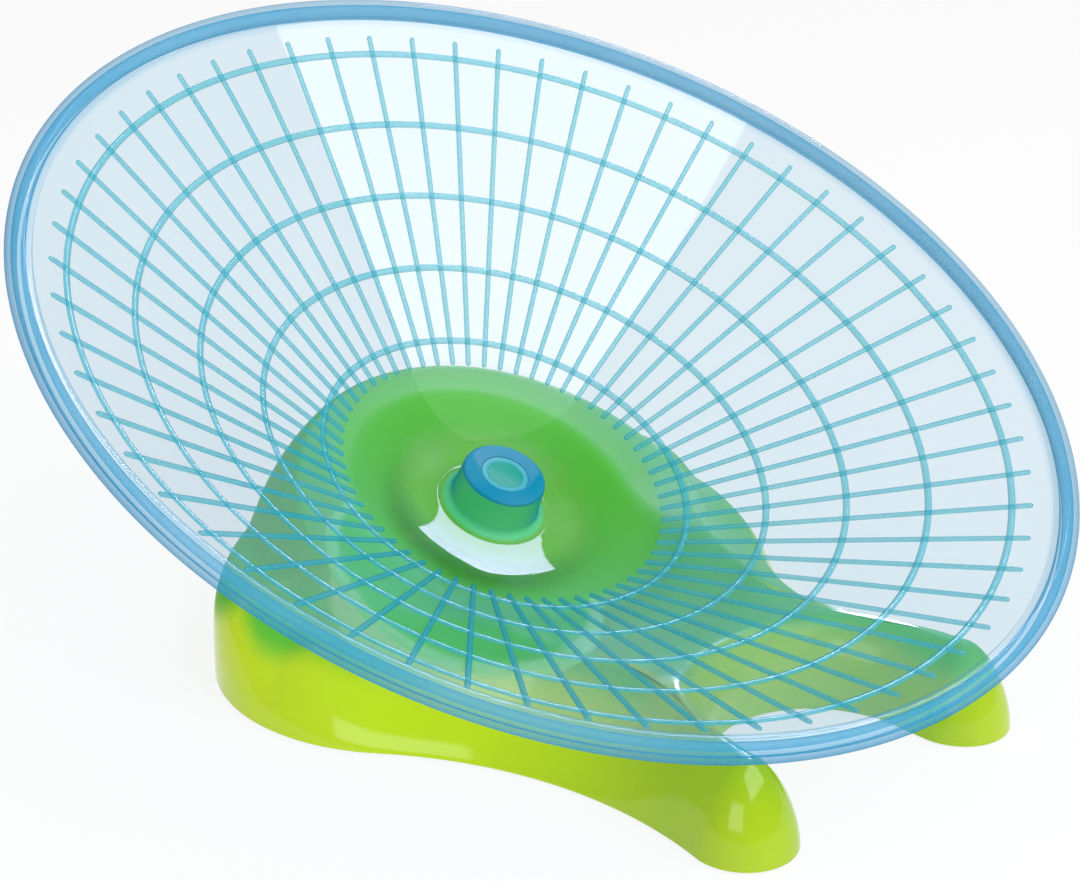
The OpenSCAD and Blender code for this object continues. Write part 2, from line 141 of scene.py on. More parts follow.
def arcPoints(centre, radius, a, b, count):
    # count + 1 points of a circle's arc, from angle a to angle b in degrees
    t = np.radians(np.linspace(a, b, count + 1))
    return np.stack([centre[0] + radius * np.cos(t), centre[1] + radius * np.sin(t)], -1)


def roundedLine(corners, count=6, most=0.49):
    # a line through corners of (r, z, radius): a tangent curve starts and ends a radius away from each, or
    # at most that share of a side. p = (1 - t)^2 start + 2 t (1 - t) corner + t^2 end; 0 stays sharp
    corners = np.asarray(corners, float)
    out = []
    for k, (r, z, radius) in enumerate(corners):
        here = np.array([r, z])
        if radius <= 0 or k in (0, len(corners) - 1):
            out.append(here[None])
            continue
        before, after = corners[k - 1, :2] - here, corners[k + 1, :2] - here
        reach = min(radius, np.linalg.norm(before) * most, np.linalg.norm(after) * most)
        start, end = [here + side / np.linalg.norm(side) * reach for side in (before, after)]
        t = np.linspace(0, 1, count + 1)[:, None]
        out.append((1 - t) ** 2 * start + 2 * t * (1 - t) * here + t ** 2 * end)
    return np.concatenate(out)


def turned(profile, count, place=fromDish, closed=True):
    # the profile (r, z) carried round the axis: x = r cos a, y = r sin a
    a = np.linspace(0, 2 * np.pi, count, endpoint=False)
    r, z = profile[:, 0][None, :], profile[:, 1][None, :]
    points = np.stack([r * np.cos(a)[:, None], r * np.sin(a)[:, None], z + 0 * a[:, None]], -1)
    return place(points), gridQuads(count, len(profile), True, closed)


def ease(t):
    # 0 below 0, 1 above 1, and the smooth step 3 t^2 - 2 t^3 between
    t = np.clip(t, 0, 1)
    return t * t * (3 - 2 * t)


def ramp(value, ends):
    # 0 up to the first end, 1 from the second, and a smooth step between
    return ease((value - ends[0]) / (ends[1] - ends[0]))


def softMin(a, b, size):
    # the lower of the two, rounded where they cross
    h = np.clip(0.5 + 0.5 * (b - a) / size, 0, 1)
    return b + (a - b) * h - size * h * (1 - h)


def softMax(a, b, size):
    # the higher of the two, rounded in the same way
    return -softMin(-a, -b, size)


# Shader helpers: a value is a plain one, or another node's output
noiseSpan = (0.3, 0.7)     # nearly all of a noise texture lies between these
white = (1, 1, 1, 1)


def linear(colour):
    # an sRGB colour of 0 to 255 as linear light
    c = np.array(colour) / 255.0
    c = np.where(c <= 0.04045, c / 12.92, ((c + 0.055) / 1.055) ** 2.4)
    return (*c.tolist(), 1.0)


def newMaterial(name, look):
    # a Principled shader with the plain settings of look on its own sockets
    material = bpy.data.materials.new(name)
    material.use_nodes = True
    shader = material.node_tree.nodes["Principled BSDF"]
    for socket, value in look.items():
        shader.inputs[socket].default_value = value
    return material, material.node_tree, shader


def emptyTree(owner):
    # the cleared node tree of a material or of the world
    owner.use_nodes = True
    owner.node_tree.nodes.clear()
    return owner.node_tree


def feed(tree, socket, value):
    if isinstance(value, bpy.types.NodeSocket):
        tree.links.new(value, socket)
    else:
        socket.default_value = value


def addNode(tree, kind, **settings):
    # a node with its own settings, where it has one of that name, and else the values of its sockets
    node = tree.nodes.new(kind)
    for key, value in settings.items():
        if hasattr(node, key):
            setattr(node, key, value)
        else:
            feed(tree, node.inputs[key], value)
    return node


def feedAll(tree, node, sockets, values):
    # the node's sockets, by name or number, take the values in turn
    for socket, value in zip(sockets, values):
        feed(tree, node.inputs[socket], value)
    return node.outputs


def arithmetic(tree, operation, *values, clamped=False):
    node = addNode(tree, "ShaderNodeMath", operation=operation, use_clamp=clamped)
    return feedAll(tree, node, range(len(values)), values)[0]


def mixShaders(tree, share, first, second):
    node = tree.nodes.new("ShaderNodeMixShader")
    feedAll(tree, node, range(3), (share, first.outputs[0], second.outputs[0]))
    return node


def blendColours(tree, share, first, second):
    # sockets 6 and 7 of a mix node are its colours, and output 2 is the blended one
    node = addNode(tree, "ShaderNodeMix", data_type="RGBA")
    return feedAll(tree, node, (0, 6, 7), (share, first, second))[2]


def remap(tree, source, span, outSpan):
    # the source from one span to another, held at both ends
    names = ("Value", "From Min", "From Max", "To Min", "To Max")
    return feedAll(tree, tree.nodes.new("ShaderNodeMapRange"), names, (source, *span, *outSpan))["Result"]


def rayShare(tree, *kinds):
    # 1 for rays of any of these kinds, and 0 for the others
    path = tree.nodes.new("ShaderNodeLightPath")
    share = path.outputs["Is %s Ray" % kinds[0]]
    for kind in kinds[1:]:
        share = arithmetic(tree, "MAXIMUM", share, path.outputs["Is %s Ray" % kind])
    return share


def flowGroup():
    # soft flow marks of a moulding: a wide cloud for the colour, and a fine ripple for the surface
    group = bpy.data.node_groups.new("mouldedFlow", "ShaderNodeTree")
    group.interface.new_socket("Vector", in_out="INPUT", socket_type="NodeSocketVector")
    marks = (("Cloud", 2.0, 0.4), ("Ripple", 1.0, 0.5))
    for name, detail, roughness in marks:
        for socket, way in ((name + " Scale", "INPUT"), (name, "OUTPUT")):
            group.interface.new_socket(socket, in_out=way, socket_type="NodeSocketFloat")
    start, end = group.nodes.new("NodeGroupInput"), group.nodes.new("NodeGroupOutput")
    for name, detail, roughness in marks:
        noise = addNode(group, "ShaderNodeTexNoise", Vector=start.outputs["Vector"],
                        Scale=start.outputs[name + " Scale"], Detail=detail, Roughness=roughness)
        group.links.new(noise.outputs["Fac"], end.inputs[name])
    return group


mouldedFlow = flowGroup()


def flowMarks(tree, scales):
    # the group's marks in a material, at the scales that it gives
    place = tree.nodes.new("ShaderNodeTexCoord")
    group = addNode(tree, "ShaderNodeGroup", node_tree=mouldedFlow)
    return feedAll(tree, group, ("Vector", *scales), (place.outputs["Object"], *scales.values()))


def attribute(tree, name, output="Fac"):
    return addNode(tree, "ShaderNodeAttribute", attribute_name=name).outputs[output]


# Base: a hollow moulding with a dome under the dish, bulging hips, sloping waist and two round toes
base = {
    "wall": 2.5, "gap": 2.5, "footLift": 0.6,
    "domeRadius": 70.0, "domeY": 33.0, "domeZ": 7.3, "domeSink": 64.5,
    "rearRadius": 104.0, "hipRadius": 54.0, "hipX": 37.0, "hipY": 24.0, "hipHeight": 28.5,
    "waistRadius": 106.0, "toeRadius": 13.9, "toeX": 43.0, "toeY": 104.5, "toeHeight": 24.2, "forkY": 94.0,
    # how far each stretch's shoulder reaches in, and its power, where a higher one is squarer
    "hipShape": (10.0, 3.5), "flankShape": (27.0, 1.6), "waistShape": (27.0, 1.3), "forkShape": (10.0, 2.0),
    "toeFlat": 0.8, "toePower": 1.6,
    # where a shape gives way to the next: mm behind the hip's or the toe's middle, or a share of the leg
    "flankBlend": (30.0, -4.0), "waistBlend": (-4.0, -44.0), "toeBlend": (46.0, 8.0),
    "forkBlend": 0.45, "legBlend": 0.5,
    "edgeRound": 1.8, "creaseRound": 5.0, "creaseRise": 0.5, "creaseLeast": 0.1, "seatRound": 1.0,
    "deckSpine": 40.0, "legRoot": -38.0,
    "step": 1.25, "toeStep": 0.75, "outerRows": (22, 78), "innerRows": (12, 22),
    "lobeRows": 6, "lobeGap": 0.05,
    "bossRadius": 9.0, "bossTop": -81.0, "bossEnd": -96.6, "bossRoom": 9.8, "bossSteps": 64,
    "ribs": [((0, -62), (0, 90)), ((-85, 34), (85, 34))], "ribWidth": 2.0, "ribFoot": 9.0, "ribLeast": 0.4,
    "postRadius": 7.0, "postFoot": 3.0, "postRings": (1, 0.85, 0.7, 0.55, 0.4, 0.2, 0), "sink": 0.4,
    "footInset": 16.0, "footTurn": math.radians(35.2), "sharpAngle": 30.0,
    # shade is the colour of the painted shade: the green that light through the dish gives the lime
    "lime": (214, 230, 0), "toeLime": (170, 200, 0), "shade": (98, 192, 40), "pale": (228, 234, 90),
    "toeLimeAt": (-0.03, -0.09),     # metres along Y
    "flow": {"Cloud Scale": 22}, "paleMost": 0.12, "roughness": (0.11, 0.65),
}
# Painted shade: the green of light that has come through the dish is painted on what is high, and on what
# faces up inside the outline. A strip at the front left stays lime, and it widens towards the toe. A pair is
# where a share is 0 and where it is 1.
shade = {
    "height": (24.0, 34.0), "rearDrop": 9.0, "facing": (-0.05, 0.4), "front": (-122.0, -108.0),
    "behind": (32.0, 54.0), "inside": (3.0, 8.0),
    "stripX": (-20.0, -40.0), "stripY": (32.0, 12.0), "stripAdds": (5.0, 8.0),
    "widerY": (-10.0, -50.0), "widerAdds": (4.0, 8.0),
}
dishWall = {"slope": math.radians(30.7), "thickness": 2.0, "floorRadius": 46.0, "depth": 57.6, "seat": -80.1}
wallRise = math.tan(dishWall["slope"])

# The outline's arcs touch, so the waist's middle is two radii away from the hip's and from the toe's
hip = np.array([base["hipX"], base["hipY"]])
toe = np.array([base["toeX"], -base["toeY"]])
fork = np.array([0, -base["forkY"]])
rear = np.array([0, hip[1] - math.sqrt((base["rearRadius"] - base["hipRadius"]) ** 2 - hip[0] ** 2)])
apart = np.linalg.norm(toe - hip)
toToe = (toe - hip) / apart
fromHip, fromToe = base["hipRadius"] + base["waistRadius"], base["toeRadius"] + base["waistRadius"]
waistAlong = (fromHip ** 2 - fromToe ** 2 + apart ** 2) / (2 * apart)
waistOut = math.sqrt(fromHip ** 2 - waistAlong ** 2)
waist = hip + waistAlong * toToe + waistOut * np.array([-toToe[1], toToe[0]])
deckRise = (base["hipHeight"] - base["toeHeight"]) / (base["hipY"] + base["toeY"])
toeShape = np.array([base["toeRadius"] - base["toeFlat"], base["toePower"]])
footAim = np.array([math.cos(base["footTurn"]), math.sin(base["footTurn"])])
rearFoot = hip + (base["hipRadius"] - base["footInset"]) * footAim
footPlaces = {"foot_front_left": (-toe[0], toe[1]), "foot_front_right": (toe[0], toe[1]),
              "foot_rear_left": (-rearFoot[0], rearFoot[1]), "foot_rear_right": (rearFoot[0], rearFoot[1])}


def direction(a, b):
    # the angle in degrees from point a to point b
    return math.degrees(math.atan2(b[1] - a[1], b[0] - a[0]))


def stations(centre, radius, a, b, step, side):
    # points of an arc and the outward direction at each, side -1 where the outline is hollow
    count = max(2, int(abs(math.radians(b - a)) * radius / step))
    t = np.radians(np.linspace(a, b, count + 1))
    out = np.stack([np.cos(t), np.sin(t)], -1)
    return np.asarray(centre) + radius * out, side * out


def resampled(points, outs, count):
    # the same line at count + 1 even steps along its length
    along = np.concatenate([[0], np.cumsum(np.linalg.norm(np.diff(points, axis=0), axis=1))])
    wanted = np.linspace(0, along[-1], count + 1)
    p, o = [np.stack([np.interp(wanted, along, v[:, k]) for k in (0, 1)], -1) for v in (points, outs)]
    return p, o / np.linalg.norm(o, axis=1)[:, None]


def shapeAt(y):
    # reach and power of the shoulder along the outer side: upright hips, long sloping waist, round toes
    shape = np.array(base["hipShape"])
    for following, middle, blend in (
            (base["flankShape"], base["hipY"], base["flankBlend"]),
            (base["waistShape"], base["hipY"], base["waistBlend"]),
            (toeShape, -base["toeY"], base["toeBlend"])):
        shape = shape + (np.array(following) - shape) * ramp(y - middle, blend)[:, None]
    return shape


def craterHeight(x, y, inset):
    # the height over (x, y) of a cone that follows the dish's wall, and of the flat seat in its middle:
    # z_dish + c = m r_dish is squared and solved for z, and the higher root is the cone
    drop = (dishWall["thickness"] + base["gap"] + inset) / math.cos(dishWall["slope"])
    c = dishWall["floorRadius"] * wallRise + dishWall["depth"] + drop
    m, k, s = wallRise, spinCos, spinSin
    qa = k * k - m * m * s * s
    qb = 2 * k * (c - y * s) - 2 * m * m * y * k * s
    qc = (c - y * s) ** 2 - m * m * (x * x + y * y * k * k)
    cone = (-qb + np.sqrt(np.maximum(qb * qb - 4 * qa * qc, 0))) / (2 * qa) + spinFrame["height"]
    seat = spinFrame["height"] + (dishWall["seat"] - inset + y * s) / k
    return softMax(cone, seat, base["seatRound"])


def domeHeight(x, y, inset):
    # a ball cut off flat, square to the spin axis; beside the ball the height is far below the ground
    room = (base["domeRadius"] - inset) ** 2 - x * x - (y - base["domeY"]) ** 2
    ball = np.where(room > 0, base["domeZ"] + np.sqrt(np.maximum(room, 0)), -50)
    flat = spinFrame["height"] + (-base["domeSink"] - inset + y * spinSin) / spinCos
    return softMin(ball, flat, base["edgeRound"])


def baseSheet(outline, inset, shoulderRows, deckRows):
    # for each station: up the superellipse shoulder (in = reach (1 - cos^p a), up = top sin^p a), then
    # straight to its goal on the deck; the height is then raised to the dome and lowered to the crater
    points, outs, shape, goals = outline
    foot = base["footLift"]
    deck = lambda y: base["toeHeight"] + (y + base["toeY"]) * deckRise - inset
    reach, power = shape[:, 0] - inset, 2 / shape[:, 1]
    edge = points - outs * shape[:, :1]
    top = deck(edge[:, 1])
    a = np.linspace(0, np.pi / 2, shoulderRows + 1)[:, None]
    inwards = inset + reach * (1 - np.maximum(np.cos(a), 0) ** power)
    shoulder = points[None] - outs[None] * inwards[..., None]
    shoulderHeight = foot + (top - foot) * np.sin(a) ** power
    t = np.linspace(0, 1, deckRows + 1)[1:, None, None]
    inner = edge[None] + (goals - edge)[None] * t
    # where the dome is wider than the outline, a few rows reach out to its edge first
    start = points - outs * inset
    fromMiddle = start - np.array([0.0, base["domeY"]])
    across = (fromMiddle * outs).sum(1)
    room = (base["domeRadius"] - inset - base["lobeGap"]) ** 2 - (fromMiddle ** 2).sum(1)
    bulge = np.where(room > 0, np.sqrt(np.maximum(across ** 2 + room, 0)) - across, 0)
    u = 1 - np.linspace(0, 1, base["lobeRows"] + 1)[:-1, None, None] ** 2
    lobe = start[None] + outs[None] * bulge[None, :, None] * u
    plan = np.concatenate([lobe, shoulder, inner])
    height = np.concatenate([np.full(lobe.shape[:2], foot), shoulderHeight, deck(inner[..., 1])])
    x, y = plan[..., 0], plan[..., 1]
    ball = domeHeight(x, y, inset)
    # the crease round the dome is tighter low down, and sharp along the foot
    crease = np.minimum(base["creaseRound"], base["creaseRise"] * (height - foot) + base["creaseLeast"])
    raised = np.where(height > foot + 0.01, softMax(height, ball, crease), np.maximum(height, ball))
    cut = np.maximum(softMin(raised, craterHeight(x, y, inset), base["edgeRound"]), foot)
    cut[0] = foot
    return np.stack([x, y, cut], -1)


def halfOutline():
    # rear arc, hip, hollow waist, toe and fork as stations with their shapes and their goals on the deck
    hipStart, hipEnd, toeStart = direction(rear, hip), direction(hip, waist), direction(toe, waist)
    rearPoints, rearOuts = stations(rear, base["rearRadius"], 90, hipStart, base["step"], 1)
    hipPoints, hipOuts = stations(hip, base["hipRadius"], hipStart, hipEnd, base["step"], 1)
    legPoints, legOuts = stations(waist, base["waistRadius"], hipEnd + 180, toeStart + 180, base["step"], -1)
    toePoints, toeOuts = stations(toe, base["toeRadius"], toeStart, -180, base["toeStep"], 1)
    forkArc, forkArcOuts = stations(fork, base["toeX"] - base["toeRadius"], 0, 90, base["step"], -1)
    forkPoints = np.concatenate([toePoints[-1:], forkArc])
    forkOuts = np.concatenate([[[-1.0, 0.0]], forkArcOuts])
    # the leg's two sides have as many stations, and each pair meets half way between their edges
    count = len(legPoints) - 1
    forkPoints, forkOuts = resampled(forkPoints, forkOuts, count)
    along = np.linspace(0, 1, count + 1)
    legShape = shapeAt(legPoints[:, 1])
    forkShare = ease(along / base["forkBlend"])[:, None]
    forkShape = toeShape + (np.array(base["forkShape"]) - toeShape) * forkShare
    legEdge = legPoints - legOuts * legShape[:, :1]
    forkEdge = (forkPoints - forkOuts * forkShape[:, :1])[::-1]
    root = np.array([[0.0, base["legRoot"]]])
    legGoals = root + ((legEdge + forkEdge) / 2 - root) * ease(along / base["legBlend"])[:, None]
    legGoals[-1] = toe
    back = np.concatenate([rearPoints[:-1], hipPoints])
    backOuts = np.concatenate([rearOuts[:-1], hipOuts])
    length = np.concatenate([[0], np.cumsum(np.linalg.norm(np.diff(back, axis=0), axis=1))])
    spine = base["deckSpine"] + (base["legRoot"] - base["deckSpine"]) * ease(length / length[-1])
    backGoals = np.stack([0 * length, spine], -1)
    onToe = (len(toePoints) - 1, 1)
    points = np.concatenate([back, legPoints[1:], toePoints[1:], forkPoints[1:]])
    outs = np.concatenate([backOuts, legOuts[1:], toeOuts[1:], forkOuts[1:]])
    shapes = np.concatenate([shapeAt(back[:, 1]), legShape[1:], np.tile(toeShape, onToe), forkShape[1:]])
    goals = np.concatenate([backGoals, legGoals[1:], np.tile(toe, onToe), legGoals[::-1][1:]])
    return points, outs, shapes, goals


def column(x, y, high, count=36):
    # an upright rod whose top follows the heights given, ring by ring to its middle
    a = np.linspace(0, 2 * np.pi, count, endpoint=False)
    around = base["postRadius"] * np.stack([np.cos(a), np.sin(a)], -1)
    ring = lambda share: np.array([x, y]) + around * share
    foot = [np.column_stack([ring(share), base["postFoot"] + 0 * a]) for share in (0, 1)]
    top = [np.column_stack([ring(share), high(ring(share))]) for share in base["postRings"]]
    return np.stack(foot + top), gridQuads(len(foot + top), count, False, True)


def ribFoot(places):
    # a rib's lower edge is level, and rises over the washer and the screw under the boss: the plane of the
    # boss's end there, and beside it the line that runs down along the spin axis
    x, y = places[:, 0], places[:, 1]
    plane = spinFrame["height"] + (base["bossEnd"] + y * spinSin) / spinCos
    reach = np.sqrt(np.maximum(base["bossRoom"] ** 2 - x * x, 0))
    last = -base["bossEnd"] * spinSin + reach * spinCos
    lastHeight = spinFrame["height"] + base["bossEnd"] * spinCos + reach * spinSin
    beside = lastHeight - (y - last) * spinCos / spinSin
    return np.maximum(base["ribFoot"], np.minimum(plane, np.where(reach > 0, beside, 0)))


def rib(start, end, high, count=80):
    # an upright rib between two points, up to the heights given: four long edges round a closed strip
    start, end = np.asarray(start, float), np.asarray(end, float)
    along = end - start
    line = start + along * np.linspace(0, 1, count + 1)[:, None]
    side = np.array([-along[1], along[0]]) / np.linalg.norm(along) * base["ribWidth"] / 2
    top, foot = high(line), ribFoot(line)
    keep = top > foot + base["ribLeast"]
    line, top, foot = line[keep], top[keep], foot[keep]
    corners = ((-1, foot), (1, foot), (1, top), (-1, top))
    edges = np.stack([np.column_stack([line + side * s, z]) for s, z in corners])
    middle = np.column_stack([line, (top + foot) / 2])
    ends = [np.repeat(middle[k][None, None], 4, 0) for k in (0, -1)]
    points = np.concatenate([ends[0], edges, ends[1]], 1)
    return points, gridQuads(4, points.shape[1], True, False)


def paintShadeOnBase(mesh, outline):
    # the share of painted shade, the green of light through the dish, at each point, from its place and the
    # way it faces
    count = len(mesh.vertices)
    places, normals = np.empty(count * 3, np.float32), np.empty(count * 3, np.float32)
    mesh.vertices.foreach_get("co", places)
    mesh.vertex_normals.foreach_get("vector", normals)
    x, y, z = places.reshape(-1, 3).T / millimetre
    up = normals.reshape(-1, 3)[:, 2]
    inside = np.min([np.hypot(x - px, y - py) for px, py in outline[::2]], axis=0)
    behind = ramp(y, shade["behind"])
    strip = ramp(x, shade["stripX"]) * ramp(y, shade["stripY"])
    wider = strip * ramp(y, shade["widerY"])
    adds = zip(shade["inside"], shade["stripAdds"], shade["widerAdds"])
    edges = [near + more * strip + most * wider for near, more, most in adds]
    flat = ramp(inside, edges) * ramp(up, shade["facing"]) * ramp(y, shade["front"]) * (1 - behind)
    share = np.maximum(flat, ramp(z + shade["rearDrop"] * behind, shade["height"]))
    mesh.attributes.new("shade", "FLOAT", "POINT").data.foreach_set("value", share.astype(np.float32))


def buildBase(material):
    # half the outline is mirrored; the outer and inner sheets meet along the foot, over posts, ribs and boss
    flip = np.array([-1.0, 1.0])
    sides = zip(halfOutline(), (flip, flip, 1.0, flip))
    outline = [np.concatenate([v, (v[::-1] * turn)[1:-1]]) for v, turn in sides]
    count = len(outline[0])
    outer = baseSheet(outline, 0.0, *base["outerRows"])
    inner = baseSheet(outline, base["wall"], *base["innerRows"])
    flatInner = inner.reshape(-1, 3)

    def under(places):
        # the mean height of the three nearest points of the shell's underside, and a little into the wall
        gaps = ((places[:, None, :] - flatInner[None, :, :2]) ** 2).sum(-1)
        near = np.argsort(gaps, axis=1)[:, :3]
        return flatInner[near, 2].mean(1) + base["sink"]

    sheets = [(outer, gridQuads(len(outer), count, False, True)),
              (inner, gridQuads(len(inner), count, False, True)[:, ::-1]),
              (np.stack([outer[0], inner[0]]), gridQuads(2, count, False, True)[:, ::-1])]
    posts = [column(x, y, under) for x, y in footPlaces.values()]
    ribs = [rib(start, end, under) for start, end in base["ribs"]]
    r, low, high = base["bossRadius"], base["bossEnd"], base["bossTop"]
    boss = turned(np.array([(0, low), (r, low), (r, high), (0, high)]), base["bossSteps"], closed=False)
    points, quads = joined([*sheets, *posts, *ribs, boss])
    piece = makePiece("baseMoulding", points, quads, "base", material,
                      sharpAngle=base["sharpAngle"])
    paintShadeOnBase(piece.data, outline[0])
    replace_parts(piece, "base_shell")
    return piece


def baseMaterial():
    # lime, greener at the toes and paler in clouds, and the painted shade's green over both
    material, tree, shader = newMaterial("limePlastic", {"IOR": 1.5})
    paleShare = remap(tree, flowMarks(tree, base["flow"])["Cloud"], noiseSpan, (0, base["paleMost"]))
    paintedShadeShare = attribute(tree, "shade")
    place = tree.nodes.new("ShaderNodeTexCoord")
    parts = addNode(tree, "ShaderNodeSeparateXYZ", Vector=place.outputs["Object"])
    toeShare = remap(tree, parts.outputs["Y"], base["toeLimeAt"], (0, 1))
    lime = blendColours(tree, toeShare, linear(base["lime"]), linear(base["toeLime"]))
    lime = blendColours(tree, paleShare, lime, linear(base["pale"]))
    feed(tree, shader.inputs["Base Color"], blendColours(tree, paintedShadeShare, lime, linear(base["shade"])))
    # where the shade is painted the gloss is soft, and the rest is polished
    feed(tree, shader.inputs["Roughness"], remap(tree, paintedShadeShare, (0, 1), base["roughness"]))
    return material


baseMoulding = buildBase(baseMaterial())
print("base moulded,", len(baseMoulding.data.polygons), "faces")

# Clear tinted plastic of the dish, the treads and the cap
clearPlastic = {
    "body": {"IOR": 1.5, "Roughness": 0.3, "Specular IOR Level": 0.0},
    "flow": {"Cloud Scale": 30, "Ripple Scale": 260},
    "cloud": (235, 245, 250), "cloudMost": 0.1, "ripple": (0.7, 1.4),
    "edgeBlend": 0.4, "edgeFacing": (0.35, 0.95),
    "lampPass": 0.6,     # share of a lamp's light that gets through the body
    "litThrough": (0.8, 0.96, 0.98, 1), "glossIndex": 1.75,
}


def plasticLook(name, look):
    # a share of body in the moulding's own colour, the rest shows what lies behind, and a gloss over both.
    # Lamps and soft light that pass through are tinted more than the view is.
    material, tree, shader = newMaterial(name, clearPlastic["body"])
    marks = flowMarks(tree, clearPlastic["flow"])
    cloudShare = remap(tree, marks["Cloud"], noiseSpan, (0, clearPlastic["cloudMost"]))
    colour = blendColours(tree, cloudShare, attribute(tree, "tint", "Color"), linear(clearPlastic["cloud"]))
    facing = addNode(tree, "ShaderNodeLayerWeight", Blend=clearPlastic["edgeBlend"]).outputs["Facing"]
    edgeShare = remap(tree, facing, clearPlastic["edgeFacing"], (0, look["edgeShare"]))
    feed(tree, shader.inputs["Base Color"], blendColours(tree, edgeShare, colour, linear(look["edgeTint"])))
    grow = arithmetic(tree, "MULTIPLY_ADD", facing, look["edgeGain"], 1.0)
    body = arithmetic(tree, "MULTIPLY", attribute(tree, "body"), grow, clamped=True)
    passing = arithmetic(tree, "MULTIPLY_ADD", rayShare(tree, "Shadow"), -clearPlastic["lampPass"], 1.0)
    body = arithmetic(tree, "MULTIPLY", body, passing)
    lit = rayShare(tree, "Shadow", "Diffuse")
    clear = blendColours(tree, lit, look["seenThrough"], clearPlastic["litThrough"])
    inside = mixShaders(tree, body, addNode(tree, "ShaderNodeBsdfTransparent", Color=clear), shader)
    # the wall is too thin to bend the view, so the gloss of both its faces is put on the face in front
    fresnel = addNode(tree, "ShaderNodeFresnel", IOR=clearPlastic["glossIndex"]).outputs[0]
    behind = tree.nodes.new("ShaderNodeNewGeometry").outputs["Backfacing"]
    mirror = arithmetic(tree, "MULTIPLY", fresnel, arithmetic(tree, "SUBTRACT", 1.0, behind))
    share = arithmetic(tree, "MULTIPLY", mirror, attribute(tree, "gloss"))
    rough = remap(tree, marks["Ripple"], noiseSpan, [look["roughness"] * k for k in clearPlastic["ripple"]])
    gloss = addNode(tree, "ShaderNodeBsdfGlossy", Color=white, Roughness=rough)
    skin = mixShaders(tree, share, inside, gloss)
    feed(tree, tree.nodes["Material Output"].inputs["Surface"], skin.outputs[0])
    return material


# Dish: bowl floor, straight running wall, rolled rim and hub
dish = {
    "rimRadius": 148.5, "beadRadius": 3.5, "beadWall": 1.6, "lipEnd": -75.0, "beadBlend": 3.6,
    "floorSink": 10.0, "floorFlat": 0.12, "steps": 360, "sharpAngle": 32.0,
    "floorPoints": 26, "wallPoints": 30, "rimSteps": 30, "lipSteps": 6, "curlSteps": 16,
    "hubTopRadius": 12.0, "hubRound": 1.0, "hubDraft": 1 / 11, "hubSideStart": 1.1, "hubRise": 12.0,
    "hubFootRadius": 14.0, "hubFootRise": 1.0, "hubFootRound": 1.4, "hubFillet": 1.6,
    # the collar under the hub and the socket above it, with depths under the hub's top
    "collarInset": 1.0, "collarFillet": (0.6, 0.4), "collarDepth": 21.3, "collarRounds": (0.5, 0.3),
    "collarTop": 14.4, "socketFoot": 14.3, "boreRadius": 9.5, "boreTop": 6.5,
    "washerRadius": 7.6, "washerTop": 2.0, "capBore": 6.0, "capSeat": 1.3, "capRadius": 7.0,
    # share of body, colour and gloss of each stretch of the section
    # the green of the hub's side, the floor and the collar is a painted view of the lime base seen through
    # the blue plastic
    "hub": (0.97, (0, 135, 172), 0.02), "hubSide": (0.95, (78, 196, 128), 0.03),
    "floor": (0.03, (98, 186, 60), 0.14), "wall": (0.06, (0, 190, 235), 0.65),
    "bead": (0.36, (0, 158, 204), 0.04), "collar": (0.95, (80, 185, 60), 0.05),
    # share of body and colour of the floor next to the hub, and of the painted highlight on the side of the
    # bead towards the axis
    "root": (0.85, (90, 171, 52)), "rootRadii": (33.0, 20.0),
    "beadHighlight": (0.14, (110, 210, 242)), "beadChange": (0.75, 0.35),
    "look": {"edgeGain": 0.9, "edgeShare": 0.8, "edgeTint": (0, 142, 196), "roughness": 0.03,
             "seenThrough": (0.936, 0.965, 0.98, 1)},
}
floorMiddle = -dishWall["depth"] - dish["floorSink"]
hubTop = floorMiddle + dish["hubRise"]


def wallHeight(r):
    # the running wall rises in a straight line from the floor's edge
    return (r - dishWall["floorRadius"]) * wallRise - dishWall["depth"]


def floorHeight(r):
    # a bowl whose slope grows evenly from the hub outwards
    t = (r - dish["hubFootRadius"]) / (dishWall["floorRadius"] - dish["hubFootRadius"])
    return floorMiddle + dish["floorSink"] * (dish["floorFlat"] * t + (1 - dish["floorFlat"]) * t * t)


def underHub(r, depth, radius=0):
    # a corner of a rounded line, placed by its depth under the hub's top
    return r, hubTop - depth, radius


